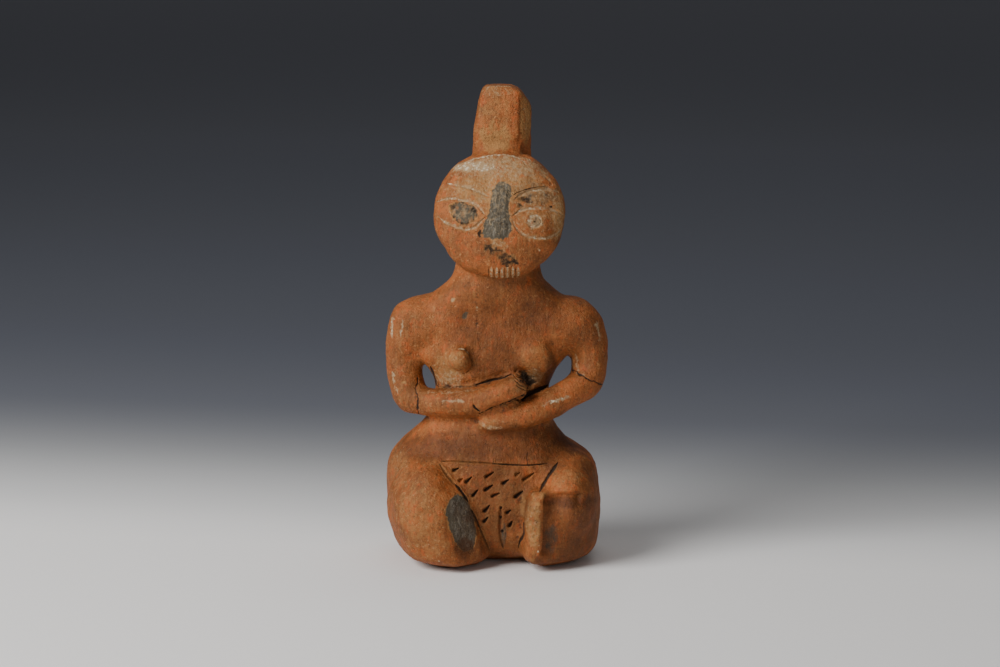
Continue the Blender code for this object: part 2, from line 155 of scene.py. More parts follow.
# The right pupil: a ring a little wider than tall, with a pit in its middle.
PUPIL = (16.4, 146.2)
PUPIL_ACROSS = 2.5
PUPIL_UP = 2.2
turns = np.linspace(0, 2 * math.pi, 17)
ring = [(PUPIL[0] + PUPIL_ACROSS * math.cos(a), PUPIL[1] + PUPIL_UP * math.sin(a)) for a in turns]
mark(FACE, ring, width=1.9, depth=0.3, pale=0.5)
mark(FACE, (PUPIL, (PUPIL[0] - 0.2, PUPIL[1] - 0.5)), width=1.3, depth=0.5, dark=0.9)
# The teeth: a dark cut on the left of each, and the pale tooth, which stands a little proud.
CUT_TO_TOOTH = 1.1
for cut in (-2.6, -0.4, 1.8, 4.0, 6.2, 8.4):
    tooth = cut + CUT_TO_TOOTH
    mark(FACE, ((cut, 127.0), (cut + 0.1, 125), (cut, 122.9)), width=0.8, depth=0.6, dark=0.5)
    mark(FACE, ((tooth, 127.4), (tooth, 122.4)), width=1.2, depth=-0.15, pale=0.52)

# The lap: the sides of its triangle, the slit and the creases by the legs, each with its
# width and its dark earth, and then the stabs, each with its middle, slant and length.
LAP = -21
for width, dark, line in (
    # The top side of the triangle.
    (1.0, 0.35, ((-22.6, 45.2), (-16.0, 45.0), (-10.4, 44.7), (-4.0, 44.4), (2.1, 44.0))),
    (0.9, 0.85, ((-1.0, 44.2), (6.0, 43.8), (14.5, 43.5), (22.0, 44.1))),
    # Its left side, and what shows of its right side.
    (1.3, 0.4, ((-22.9, 43.9), (-19, 38.4), (-16.2, 35.0))),
    (1.4, 1.0, ((-16.6, 35.4), (-14.9, 33.7), (-11.2, 28.2))),
    (1.3, 0.7, ((-10.2, 25.2), (-7.9, 21.0), (-6.2, 17.0))),
    (1.2, 0.5, ((-6.6, 18.0), (-4.6, 12.9), (-2.1, 6.9))),
    (1.6, 1.0, ((26.1, 44.6), (21.7, 38.1), (18.3, 32.9))),
    # The crease by the right leg, and the slit.
    (1.0, 0.9, ((11.2, 19.6), (11.2, 15.0), (10.3, 10.8), (10.0, 8.5))),
    (1.9, 0.45, ((2.4, 26.2), (2.3, 20.8), (2.2, 16.8), (2.6, 11.8), (3.6, 7.9))),
):
    mark(LAP, curve_through(line), width, depth=0.75, dark=dark)
for x, z, slant, length, dark in (
    (-16.1, 41.8, 25, 2.1, 0.8),
    (-10.8, 37.5, 45, 3.0, 0.75),
    (-2.1, 39.6, 35, 3.4, 0.65),
    (-2.5, 34.1, 35, 3.5, 0.8),
    (-8.1, 32.0, 50, 2.9, 0.9),
    (0.4, 31.1, 25, 3.2, 0.7),
    (4.6, 36.7, 35, 2.6, 0.9),
    (14.1, 38.8, 32, 4.9, 0.5),
    (10.0, 31.4, 40, 3.6, 0.9),
    (-3.3, 25.4, 50, 3.0, 0.95),
    (-3.7, 20.7, 50, 2.3, 0.95),
    (5.8, 24.1, 35, 1.7, 0.8),
    (6.6, 18.8, 60, 2.1, 0.85),
    (-14.0, 37.4, 40, 1.2, 0.3),
    (9.6, 40.0, 30, 1.4, 0.3),
):
    mark(LAP, stab(x, z, slant, length), width=2.1, depth=1.5, dark=dark, stabbed=True)
# Three pits in the slit, steep and short, and two cracks above the triangle that opened as
# the clay dried.
PIT_SLANT = 80
PIT_LENGTH = 1.2
for x, z in ((2.5, 25.6), (2.4, 21.6), (3.0, 15.6)):
    mark(LAP, stab(x, z, PIT_SLANT, PIT_LENGTH), width=1.6, depth=1.2, dark=0.9)
mark(LAP, ((13.6, 49.2), (13.3, 46.5), (13.6, 43.0)), width=0.5, depth=0.35, dark=0.75)
mark(LAP, ((-0.6, 46.4), (-0.5, 44.3)), width=0.5, depth=0.3, dark=0.5)

# The arms: two rolls of clay crossed under the breasts. First the creases beside them and
# at the left breast, each with its sheet, width, depth and how dark it is made.
for sheet, width, depth, dark, line in (
    # Over and under the left forearm, where it meets the chest and the right forearm.
    (-17, 0.9, 0.4, 0.6, ((-23.5, 75.5), (-18.7, 75.9), (-14.3, 76.2), (-9.5, 76.5), (-6.5, 77.2))),
    (-17, 1.1, 0.9, 1.0, ((-8.0, 76.9), (-4.2, 78.0), (-1.3, 78.9), (1.6, 79.4), (4.5, 80.2), (7.0, 81.2))),
    (-20, 1.1, 0.9, 0.9, ((-6.6, 65.4), (-2.3, 66.7), (3.5, 68.8), (8.4, 70.7))),
    (-20, 2.4, 1.8, 1.0, ((1.0, 67.9), (5.8, 69.7), (10.4, 71.5), (14.2, 73.4), (18.5, 75.4), (23.0, 77.3))),
    # The inner sides of the two arms at the elbows, and round the left breast: here the dark is
    # painted shade, where these sides turn from the light.
    (-8, 1.0, 0.2, 0.9, ((32.2, 86.8), (32.5, 83.4), (32.8, 79.9))),
    (-8, 1.8, 0.2, 0.9, ((-26.3, 83.4), (-24.8, 78.5), (-23.4, 73.6))),
    (-18, 1.2, 0.3, 0.35, ((-11.4, 90.7), (-9.8, 88.3), (-9.3, 85.3), (-10.9, 82.6), (-13.4, 81.4))),
):
    mark(sheet, curve_through(line), width, depth, dark=dark)
# The left hand lies over the right forearm, with short cuts for fingers, and a crack runs
# across its own forearm, wider at its lower end.
ARMS = -24
for finger in (
    ((7.4, 82.2), (10.2, 79.6), (12.9, 78.3)),
    ((8.5, 82.8), (11.4, 81.3), (13.1, 79.6)),
    ((7.6, 80.6), (10.2, 78.1), (13.1, 76.9)),
    ((8.6, 77.9), (11.2, 76.3), (12.9, 75.7)),
):
    mark(ARMS, finger, width=0.7, depth=0.5, pale=0.1, dark=0.55)
mark(ARMS, ((-9.4, 76.2), (-9.0, 72.8), (-9.0, 69.6)), width=0.5, depth=0.2, dark=0.4)
mark(ARMS, ((-9.0, 69.8), (-8.2, 68.4), (-6.1, 66.9)), width=1.2, depth=0.9, dark=1)

# Where the arms broke and were stuck together again the joints show as dark hairlines
# all the way round: a point in each break, the way that it faces and the arm's reach there.
BREAKS = (
    ((-32.0, -9, 68.5), (0.985, -0.1, 0.12), 9.5),
    ((39.0, -5, 77.5), (0.42, 0.05, 0.91), 12.5),
)

# Edges where one form stands proud of the next. An edge is kept as its sheet and line, the
# way to its lower side, how far that side drops, over what distance it comes back, and how
# much painted shade darkens the crevice there.
edges = []


def edge(sheet, line, lower, drop, fade, dark=0):
    """Keeps one edge between two forms."""
    edges.append((sheet, line, lower, drop, fade, dark))


upper_rim = (
    (-14.5, 167.6), (-12.4, 169.1), (-8.8, 170.8), (-4, 171.7), (0, 172.2), (6.2, 172.0),
    (12.4, 171.0), (16.8, 169.3),
)
edge(-8, upper_rim, lower=(0, 1), drop=1.5, fade=9, dark=0.4)
stub_arris = ((9.6, 197.0), (10.3, 189.4), (9.9, 181.1), (9.1, 174))
edge(-2, stub_arris, lower=(1, 0), drop=0.5, fade=4)
right_leg_ledge = ((20.1, 34.6), (23.4, 34.7), (28.8, 34.8), (37.0, 34.6))
edge(-33, right_leg_ledge, lower=(0, -1), drop=1.8, fade=12, dark=0.1)
right_leg_arris = ((20.2, 34.4), (20.3, 27.4), (20.1, 18.9), (19.5, 11.3), (18.2, 7.4))
edge(-33, right_leg_arris, lower=(1, 0), drop=1.8, fade=11, dark=0.15)
right_leg_lap_side = ((12.9, 32.6), (12.3, 27.2), (12.1, 21.3), (12.1, 12.0))
edge(-31, right_leg_lap_side, lower=(-1, 0), drop=0.9, fade=4, dark=0.25)
left_leg_top = ((-24.3, 34.6), (-20.6, 34.4), (-17.0, 34.6))
edge(-33, left_leg_top, lower=(0, -1), drop=0.3, fade=4)
over_left_forearm = (
    (-22.8, 74.8), (-14.5, 75.4), (-8.3, 76.4), (-2.1, 78.1), (3.3, 80.0), (6.6, 81.5),
)
edge(-18, over_left_forearm, lower=(0, 1), drop=1.0, fade=4, dark=0.3)
hand_end = ((7.4, 82.6), (10.8, 82.2), (13.4, 79.4), (13.9, 76.4), (12.6, 74.2))
edge(-20, hand_end, lower=(0.8, 0.6), drop=1.6, fade=3, dark=0.8)
under_left_forearm = ((-6.2, 65.9), (2.1, 68.8), (10.3, 72.2), (12.4, 73.6))
edge(-22, under_left_forearm, lower=(0.35, -0.93), drop=1.3, fade=3, dark=0.8)
over_right_forearm = ((-4.0, 65.4), (2.1, 66.9), (10.4, 70.1), (16.6, 73.5), (22.8, 75.6))
edge(-18, over_right_forearm, lower=(-0.35, 0.93), drop=1.2, fade=3, dark=0.7)
under_right_forearm = ((-6.5, 60.6), (-2.1, 57.6), (4.2, 57.8), (14.5, 60.1), (22.8, 63.5))
edge(-18, under_right_forearm, lower=(0, -1), drop=1.0, fade=5, dark=0.25)
lower_rim = (
    (-20.9, 133.3), (-16.4, 128.8), (-9.8, 124.8), (-1.6, 122.6), (4.6, 122.2),
    (10.7, 123.4), (18.0, 127.1), (23.0, 132.0),
)
edge(-22, lower_rim, lower=(0, -1), drop=1.1, fade=7, dark=0.15)
left_breast_side = ((-13.0, 91.8), (-10.6, 89.8), (-9.7, 86.6), (-10.5, 83.4), (-13.0, 81.6))
edge(-18, left_breast_side, lower=(1, -0.2), drop=0.8, fade=3)

# Chips, pits and crumbled patches: sheet, x, height, radius across and up, depth, and how
# much pale lime, dark earth and bare grey core each shows.
PATCHES = (
    # The left eye and beside the nose.
    (-24, -13.2, 149.6, 4.2, 3.0, 0.1, 0.3, 0, 0),
    (-24, -17.6, 152.3, 1.5, 1.3, 0.4, 0, 0.62, 0),
    (-24, -8.9, 151.0, 1.5, 1.5, 0.4, 0, 0.62, 0),
    (-24, -11.8, 145.0, 2.2, 0.8, 0.3, 0, 0.6, 0),
    (-24, -6.4, 141.2, 1.0, 1.9, 0.3, 0, 0.9, 0),
    # The right brow and eye.
    (-24, 12.6, 155.2, 2.8, 1.5, 0.4, 0, 0.68, 0.3),
    (-24, 10.4, 152.8, 1.7, 1.3, 0.3, 0, 0.65, 0),
    (-24, 23.1, 152.3, 0.9, 0.7, 0.2, 0, 0.8, 0),
    (-24, 16.4, 146.2, 3.9, 3.6, 0.1, 0.34, 0, 0.5),
    # The mouth, and two specks of lime on the right cheek.
    (-24, -2.6, 135.3, 2.0, 2.0, 0.6, 0, 0.8, 0),
    (-24, 0.4, 134.1, 3.2, 1.3, 0.6, 0, 0.8, 0),
    (-24, 3.6, 131.6, 3.2, 2.2, 0.6, 0, 0.7, 0.3),
    (-24, 5.4, 129.2, 4.4, 2.2, 0.6, 0, 0.72, 0.4),
    (-24, 7.6, 130.6, 0.9, 1.6, 0.3, 0, 0.6, 0),
    (-24, 12.6, 133.0, 0.7, 0.7, 0.1, 0.5, 0, 0),
    (-24, 18.2, 134.0, 0.6, 0.6, 0.1, 0.6, 0, 0),
    # The chest and the left elbow.
    (-15, -17.3, 112.2, 1.2, 1.1, 0.3, 0.4, 0.2, 0),
    (-15, -12.5, 105.3, 1.7, 1.6, 0.45, 0.2, 0.1, 0.8),
    (-15, -7.9, 102.2, 0.6, 0.5, 0.5, 0, 0.9, 0),
    (-15, -3.2, 102.4, 0.5, 0.5, 0.5, 0, 0.9, 0),
    (-8, -37.7, 76.3, 1.2, 1.1, 0.25, 0.3, 0.3, 0),
    # The left hand and its forearm.
    (-20, 12.6, 80.6, 2.4, 2.6, 0.9, 0, 0.8, 0),
    (-20, 14.6, 78.6, 2.6, 2.8, 0.7, 0, 0.78, 0),
    (-24, 1.6, 73.6, 1.0, 0.8, 0.15, 0, 0.5, 0),
    # Specks of lime low on the legs.
    (-26, -23.0, 4.6, 0.6, 0.6, 0.1, 0.9, 0, 0),
    (-33, 17.9, 9.9, 0.6, 0.6, 0.1, 0.9, 0, 0),
)

# Fields with an outline of their own, kept as their sheet and outline, how soft the edge
# is, how rough and how deep the field is, and its bare core, brown darkening and dark rim.
fields = []


def field(sheet, outline, soft, rough=0, depth=0, grey=0, brown=0, rim=0):
    """Keeps one field, which lies inside its outline."""
    fields.append((sheet, outline, soft, rough, depth, grey, brown, rim))


# Where the nose, the left pupil and the front of the left leg broke away the grey core of
# the clay is bare.
broken_nose = (
    (1.8, 162.6), (4.1, 162.2), (5.7, 161.0), (6.3, 157.7), (5.6, 154.4),
    (5.2, 151.1), (5.8, 147.0), (6.4, 143.3), (5.2, 140.2), (1.8, 139.2),
    (-2.2, 139.4), (-4.8, 141.0), (-4.0, 145.4), (-2.2, 149.5), (-1.6, 153.6),
    (-0.7, 158.5), (0.7, 161.4),
)
field(-24, broken_nose, soft=1.5, rough=0.22, depth=0.2, grey=1.0, rim=0.3)
broken_pupil = (
    (-18.6, 152.8), (-15.5, 154.0), (-11.7, 153.6), (-8.3, 151.8), (-7.4, 149.4),
    (-8.8, 146.8), (-11.6, 145.3), (-14.8, 145.9), (-17.4, 148.6),
)
field(-24, broken_pupil, soft=1.6, rough=0.3, depth=0.3, grey=0.58, rim=0.66)
broken_leg = (
    (-15.7, 33.2), (-18.3, 31.4), (-19.8, 27.2), (-19.0, 22.8), (-17.7, 17.9),
    (-15.5, 13.0), (-12.4, 10.2), (-9.5, 11.0), (-8.5, 14.9), (-8.5, 19.8),
    (-9.7, 25.7), (-12.1, 30.4), (-14.0, 32.5),
)
field(-33, broken_leg, soft=2.0, rough=0.1, depth=0.25, grey=1.0, brown=0.1, rim=0.2)
# The front of the right leg is whole, and darkened brown: partly a stain and partly painted
# shade, as it turns from the light.
stained_and_shaded_leg = (
    (20.4, 34.4), (28.0, 34.6), (37.3, 34.4), (41.1, 31.6), (42.6, 22.8),
    (41.2, 13.0), (36.5, 6.1), (27.9, 4.1), (21.2, 5.1), (19.4, 9.0),
    (20.1, 13.9), (20.4, 20.0), (20.4, 27.0),
)
field(-33, stained_and_shaded_leg, soft=0.9, brown=0.62)

# Pale streaks of lime that cling to the arms, and here and there to the body and the head,
# and two painted highlights: sheet, line, width, strength.
STREAKS = (
    # The shoulders.
    (-8, ((-42.3, 103.1), (-42.8, 99), (-43.0, 95.2)), 1.8, 0.5),
    (-8, ((-38.0, 102.8), (-38.6, 98.6), (-39.4, 95.5)), 1.4, 0.5),
    (-8, ((42.1, 101.4), (43.2, 97.6), (43.9, 94.0)), 2.2, 0.46),
    # The left forearm, the right one, and the left upper arm.
    (-22, ((-21.5, 70.7), (-13.8, 70.9)), 2.4, 0.45),
    (-22, ((-18.8, 66.9), (-13.8, 66.7)), 1.2, 0.3),
    # A painted highlight along the top of the left forearm.
    (-22, ((-28.0, 74.0), (-18.0, 74.5), (-8.0, 75.6)), 2.6, 0.3),
    (-20, ((21.9, 69.8), (26.5, 70.6), (30.4, 72.2)), 2.4, 0.52),
    (-20, ((19.7, 68.5), (23.8, 69.4)), 1.6, 0.34),
    (-8, ((-42.9, 80.6), (-42.4, 76.0), (-40.8, 72.0)), 1.8, 0.44),
    # The right hand and the right upper arm.
    (-22, ((-6.0, 62.4), (-4.2, 59.8), (2.1, 59.6)), 2.4, 0.34),
    (-22, ((2.9, 62.4), (6.0, 61.8)), 1.6, 0.3),
    (-8, ((33.9, 88.0), (34.1, 84.0), (34.6, 81.4)), 1.8, 0.34),
    (-8, ((33.4, 79.6), (37.6, 79.4)), 1.2, 0.34),
    # The chest, the face under the nose, and the left breast.
    (-15, ((-7.4, 109.8), (-7.4, 107.2)), 0.7, 0.36),
    (-24, ((-3.4, 137.6), (1.5, 136.6), (6.4, 137.4)), 3.0, 0.3),
    (-18, ((-15.2, 91.8), (-12.6, 91.6), (-10.4, 90.0)), 1.1, 0.5),
    # The head stub and the upper rim of the face.
    # A painted highlight along the top edge of the head stub.
    (-2, ((-4.0, 198.8), (1.0, 199.2), (6.4, 199.2)), 1.0, 0.4),
    (-2, ((12.4, 190.0), (12.9, 186.0), (12.6, 181.0)), 1.3, 0.3),
    (-8, ((-15.5, 165.4), (-8.6, 169.9), (0, 171.3), (6.2, 171.1), (14.4, 169.4)), 1.1, 0.5),
)

# Broader ground, as soft patches: sheet, x, height, radius across and up, then how much
# pale lime, dull wear, bare core and dark brown each has; the brown is stain and painted shade.
GROUNDS = (
    # The head stub.
    (-6, 1.0, 186.0, 9.0, 14.0, 0.04, 0.6, 0, 0),
    (-6, 0.0, 179.0, 8.0, 7.0, 0.14, 0.92, 0, 0),
    (-2, 12.8, 186.0, 3.0, 13.0, 0.12, 0.85, 0, 0),
    (-6, 1.0, 197.5, 9.0, 3.0, 0.24, 0.6, 0, 0),
    # The face.
    (-20, -8.5, 168.6, 10.5, 2.8, 0.5, 0.7, 0, 0),
    (-20, 2.0, 168.0, 24.0, 6.0, 0.36, 0.75, 0, 0),
    (-24, 2.0, 160.0, 26.0, 10.0, 0.28, 0.8, 0, 0),
    (-22, 26.0, 149.0, 3.0, 13.0, 0.3, 0.85, 0, 0),
    (-24, 4.0, 149.0, 28.0, 10.0, 0.24, 0.65, 0, 0),
    (-24, 18.0, 157.0, 10.0, 6.0, 0.28, 0.85, 0.4, 0.5),
    (-24, 1.5, 136.4, 5.5, 3.0, 0.3, 0.7, 0, 0),
    (-24, 4.0, 130.0, 7.0, 4.0, 0.05, 0.5, 0, 0.3),
    # The chest, the shoulders and the breasts. The brown on the neck under the face and on the
    # right shoulder is painted shade; on the chest and under the breasts it is partly stain and
    # partly painted shade.
    (-15, 11.0, 114.0, 20.0, 8.0, 0, 0, 0, 0.5),
    (-15, 2.0, 101.0, 26.0, 13.0, 0, 0, 0, 0.6),
    (-15, 18.0, 105.0, 13.0, 10.0, 0, 0, 0, 0.7),
    (-8, -32.0, 104.0, 9.0, 6.0, 0.04, 0.5, 0, 0),
    (-8, 37.0, 98.0, 9.0, 17.0, 0, 0, 0, 0.42),
    (-15, 1.0, 87.0, 15.0, 10.0, 0, 0.3, 0, 0.65),
    (-15, -18.5, 84.0, 8.5, 8.5, 0.2, 0.7, 0.1, 0.1),
    (-15, -18.5, 78.5, 6.5, 4.0, 0.32, 0.7, 0.1, 0.35),
    (-15, 17.5, 88.0, 9.5, 7.5, 0.06, 0.6, 0.1, 0.15),
    (-15, 16.0, 79.6, 5.0, 5.0, 0.28, 0.7, 0.3, 0.5),
    # Painted shade on the side of the body in the right arm's gap.
    (-8, 23.5, 80.5, 3.0, 8.0, 0, 0.2, 0, 0.85),
    # The two hands.
    (-24, 9.6, 78.6, 4.5, 4.0, 0.16, 0.7, 0.1, 0.5),
    (-22, -3.0, 61.0, 5.0, 3.5, 0.18, 0.7, 0, 0),
    # The belly and the hips. Their brown is partly stain and partly painted shade, under the
    # forearms and on the right hip, which turns from the light.
    (-20, 2.0, 52.0, 30.0, 9.0, 0, 0.35, 0, 0.75),
    (-20, 24.0, 50.0, 13.0, 11.0, 0, 0.1, 0, 0.7),
    (-12, 33.0, 53.0, 10.0, 8.0, 0, 0, 0, 0.95),
    (-18, -28.0, 50.0, 16.0, 6.0, 0, 0.2, 0.1, 0.75),
    # The lap and the legs. The lap's brown is partly stain and partly painted shade.
    (-21, 2.0, 28.0, 16.0, 20.0, 0, 0.6, 0, 0.7),
    (-21, 3.0, 12.0, 12.0, 10.0, 0, 0.1, 0, 0.55),
    (-33, -30.0, 26.0, 14.0, 18.0, 0.14, 0.6, 0, 0),
    (-33, -28.0, 12.0, 14.0, 8.0, 0.17, 0.6, 0, 0.1),
    (-18, -40.0, 42.0, 6.0, 13.0, 0.18, 0.6, 0, 0.35),
    (-33, 15.8, 22.0, 3.6, 13.0, 0.22, 0.85, 0, 0),
    (-33, 30.0, 40.0, 9.0, 6.0, 0.15, 0.6, 0, 0),
    # Painted shadow under the ledge of the right leg.
    (-33, 31.0, 30.5, 11.0, 3.6, 0, 0, 0, 0.9),
    (-33, -14.0, 22.0, 5.5, 11.0, 0.17, 0, 0, 0.35),
    (-33, 23.8, 15.0, 3.4, 6.8, 0.0, 0.4, 0.5, 0.3),
    (-33, 17.5, 4.0, 5.0, 4.0, 0.0, 0.5, 0.3, 0.7),
    (-33, -12.5, 11.5, 5.0, 4.5, 0.0, 0.3, 0.0, 0.8),
    (-18, -26.8, 44.4, 3.2, 2.2, 0.05, 0.6, 0.3, 0),
    (-21, 11.4, 27.0, 1.3, 7.5, 0.14, 0.8, 0.3, 0),
    (-21, 3.8, 14.0, 1.4, 6.0, 0.1, 0.7, 0.55, 0),
)


# The skin is made finer only where there is fine work: once round the marks, edges and
# breaks, and once more close beside the marks and breaks.
WORK_REACH = 2.5
CLOSE_REACH = 0.5
BREAK_REACH = 2.0
CLOSE_BREAK_REACH = 0.7


def finer(bm, wanted):
    """Cuts each side in half round the faces that are wanted."""
    sides = {side for face, take in zip(bm.faces, wanted) if take for side in face.edges}
    bmesh.ops.subdivide_edges(bm, edges=list(sides), cuts=1, use_grid_fill=True)


def middles(bm):
    """The middle of each face, in millimetres."""
    return np.array([face.calc_center_median() for face in bm.faces]) / MM


def in_front(bm):
    """Which faces look towards the viewer."""
    return np.array([face.normal for face in bm.faces]) @ SIGHT < 0


def near_lines(places, lines, reach):
    """Which places lie within reach of the side of a line on its sheet."""
    near = np.zeros(len(places), bool)
    for sheet, line, width in lines:
        near |= from_line(on_sheet(places, sheet), line)[0] < width / 2 + reach
    return near


def near_breaks(places, reach):
    """Which places lie within reach of a break across an arm."""
    near = np.zeros(len(places), bool)
    for point, facing, arm in BREAKS:
        off = places - point
        near |= (abs(off @ facing) < reach) & (np.linalg.norm(off, axis=1) < arm)
    return near


mark_lines = [(sheet, line, width) for sheet, line, width, *_ in marks]
edge_lines = [(sheet, line, 0) for sheet, line, *_ in edges]
places = middles(clay)
finely_worked = near_lines(places, mark_lines + edge_lines, WORK_REACH)
finer(clay, (finely_worked & in_front(clay)) | near_breaks(places, BREAK_REACH))
places = middles(clay)
finely_worked = near_lines(places, mark_lines, CLOSE_REACH)
finer(clay, (finely_worked & in_front(clay)) | near_breaks(places, CLOSE_BREAK_REACH))
bmesh.ops.triangulate(clay, faces=clay.faces)
clay.normal_update()

# What a viewer in front can see takes the marks, fading out where the clay turns edge-on;
# what lies behind it doesn't.
JUST_OFF = 0.3
EDGE_ON = 0.25
clay_tree = BVHTree.FromBMesh(clay)
way_out = Vector(-SIGHT)
places = np.array([vert.co for vert in clay.verts]) / MM
normals = np.array([vert.normal for vert in clay.verts])
facing = normals @ -SIGHT
open_view = np.array([
    turned > 0 and clay_tree.ray_cast(vert.co + vert.normal * JUST_OFF * MM, way_out)[0] is None
    for vert, turned in zip(clay.verts, facing)
])
shown = np.where(open_view, np.clip(facing / EDGE_ON, 0, 1), 0)

WAVES = 24


def swell(points, size, seed):
    """A smooth random swell, mostly within -1 to 1, with its humps about size apart."""
    chance = np.random.default_rng(seed)
    total = np.zeros(len(points))
    for _ in range(WAVES):
        way = chance.normal(size=points.shape[1])
        way *= 2 * math.pi / (size * chance.uniform(0.7, 1.5)) / np.linalg.norm(way)
        total += np.sin(points @ way + chance.uniform(0, 2 * math.pi))
    return total / math.sqrt(WAVES)


def eased(share):
    """A share from 0 to 1, eased at both ends."""
    share = np.clip(share, 0, 1)
    return share * share * (3 - 2 * share)


# The maker's hand left the skin a little uneven: the size of the humps and their height.
UNEVEN = ((14, 0.22), (6, 0.09), (2.6, 0.03))
rise = np.zeros(len(places))
for seed, (size, height) in enumerate(UNEVEN, 7):
    rise += height * swell(places, size, seed)
sink = np.zeros(len(places))
# Two swells, a fine and a broad one, keep the sides of every mark from being too even.
ragged = swell(places, 1.6, 21)
wander = swell(places, 4.0, 22)
# How much lime and painted highlight, earth and painted shade, bare core, wear, and brown
# stain and painted shade each point of the skin has.
amounts = {name: np.zeros(len(places)) for name in ("lime_and_highlight", "earth_and_shade", "core", "wear", "stain_and_shade")}


def lay(name, amount):
    """Lays an amount on the skin, wherever it is more than lies there already."""
    amounts[name] = np.maximum(amounts[name], amount)


def from_middle(sheet, x, z, across, up):
    """How far each point is from the middle of a round patch, as a share of its radius."""
    spot = on_sheet(places, sheet)
    return np.hypot((spot[:, 0] - x) / across, (spot[:, 1] - z) / up)


# The marks. A drawn line thins towards both ends, a stab towards its last, and the stick
# pushes up a low lip on both sides of a cut. Lime and earth fill the cut and spread a
# little past it, and the wear beside it goes further.
LIP = 0.1
THINNEST = 0.3
THICKEST = 1.1
for sheet, line, width, depth, pale, dark, stabbed in marks:
    gap, along = from_line(on_sheet(places, sheet), line)
    taper = 1.2 - 0.8 * along if stabbed else 1.25 - abs(2 * along - 1) ** 3
    half = width / 2 * (1 + 0.12 * wander) * np.clip(taper, THINNEST, THICKEST)
    cut = eased(1 - gap / half) * shown
    sink = np.where(abs(depth * cut) > abs(sink), depth * cut, sink)
    if depth > 0:
        rise += LIP * eased(1 - abs(gap - half * 1.25) / (half * 0.6)) * shown
    spread = eased(1.3 - gap / (half * 1.1)) * shown
    lay("lime_and_highlight", pale * spread * (0.9 + 0.12 * ragged))
    lay("earth_and_shade", dark * eased(1.15 - gap / half) * shown)
    lay("wear", 0.6 * eased(1.6 - gap / (half * 1.8)) * shown)

# The edges. The lower side is told by the way across each stretch of the line, averaged at
# its corners, and the drop fades out over the last part of the line at both ends.
STEP_WIDTH = 1.0
STEP_START = 0.35
END_SHARE = 0.12
for sheet, line, lower, drop, fade, dark in edges:
    spot = on_sheet(places, sheet)
    gap, along = from_line(spot, line)
    corners = np.array(line, float)
    nearest = np.argmin([np.linalg.norm(spot - c, axis=1) for c in corners], axis=0)
    runs = np.diff(corners, axis=0)
    ways = np.column_stack((-runs[:, 1], runs[:, 0])) / np.linalg.norm(runs, axis=1)[:, None]
    ways = np.array([way if way @ lower > 0 else -way for way in ways])
    ways = np.vstack((ways[:1], (ways[1:] + ways[:-1]) / 2, ways[-1:]))
    past = np.sum((spot - corners[nearest]) * ways[nearest], axis=1)
    side = np.where(past > 0, gap, -gap)
    held = eased(np.minimum(along, 1 - along) / END_SHARE)
    step = eased((side + STEP_START) / STEP_WIDTH) * (1 - eased(side / fade))
    rise -= drop * step * held * shown
    # The crevice on the lower side is darkened with painted shade.
    crevice_shade = eased(1.2 - abs(side - 0.3) / 0.7) * held * shown
    lay("earth_and_shade", dark * crevice_shade * (0.75 + 0.35 * ragged))

# The breaks: a hairline that strays a little as it runs round the arm.
BREAK_DEPTH = 0.5
BREAK_HALF = 0.5
BREAK_DARK = 0.38
stray = 0.4 * swell(places, 7, 31) + 0.12 * swell(places, 2, 32)
for point, facing_way, arm in BREAKS:
    off = places - point
    on_arm = np.linalg.norm(off, axis=1) < arm
    gap = abs(off @ np.array(facing_way) + stray)
    sink = np.maximum(sink, BREAK_DEPTH * eased(1 - gap / BREAK_HALF) * on_arm)
    lay("earth_and_shade", (0.85 + 0.2 * wander) * eased(1.25 - gap / BREAK_DARK) * on_arm)

# The chips, pits and crumbled patches, with ragged sides.
for sheet, x, z, across, up, depth, pale, dark, grey in PATCHES:
    far = from_middle(sheet, x, z, across, up) + 0.2 * ragged + 0.14 * wander
    inside = eased(1.7 - 1.4 * far) * shown
    sink = np.maximum(sink, depth * inside * (0.8 + 0.3 * ragged))
    lay("lime_and_highlight", pale * inside)
    lay("earth_and_shade", dark * inside)
    lay("core", grey * inside)
    lay("wear", inside)

# The fields. A point is inside an outline if a line from it to the right crosses the
# outline an odd number of times. A broken field is a little wider and rough all over. The
# hair keeps a level stretch of the outline from dividing by nought.
BROKEN_WIDER = 0.3
HAIR = 1e-9
crumbled = 0.5 * swell(places, 1.8, 41) + 0.5 * swell(places, 3.4, 42)
for sheet, outline, soft, rough, depth, grey, brown, rim in fields:
    spot = on_sheet(places, sheet)
    corners = np.array(curve_through([*outline, outline[0]]))
    gap = from_line(spot, corners)[0]
    crossings = np.zeros(len(spot), int)
    for (ax, az), (bx, bz) in zip(corners, corners[1:]):
        spans = (az > spot[:, 1]) != (bz > spot[:, 1])
        share = (spot[:, 1] - az) / (bz - az + HAIR)
        crossings += spans & (spot[:, 0] < ax + share * (bx - ax))
    inwards = np.where(crossings % 2 == 1, gap, -gap) + BROKEN_WIDER * (grey > 0)
    inside = eased(0.5 + (inwards + 0.3 * ragged) / soft) * shown
    rise += rough * inside * crumbled
    sink = np.maximum(sink, depth * inside)
    lay("core", grey * inside)
    lay("stain_and_shade", brown * inside)
    lay("earth_and_shade", rim * eased(1.3 - gap / 0.6) * shown * (0.8 + 0.3 * ragged))
    if grey:
        lay("wear", eased(0.9 + inwards / 1.4) * shown)

# The streaks of lime, with a faint hollow under each.
STREAK_DEPTH = 0.08
for sheet, line, width, strength in STREAKS:
    gap = from_line(on_sheet(places, sheet), line)[0]
    inside = eased(1.2 - gap / (width / 2) + 0.25 * ragged + 0.15 * wander) * shown
    lay("lime_and_highlight", strength * inside)
    sink = np.maximum(sink, STREAK_DEPTH * inside)

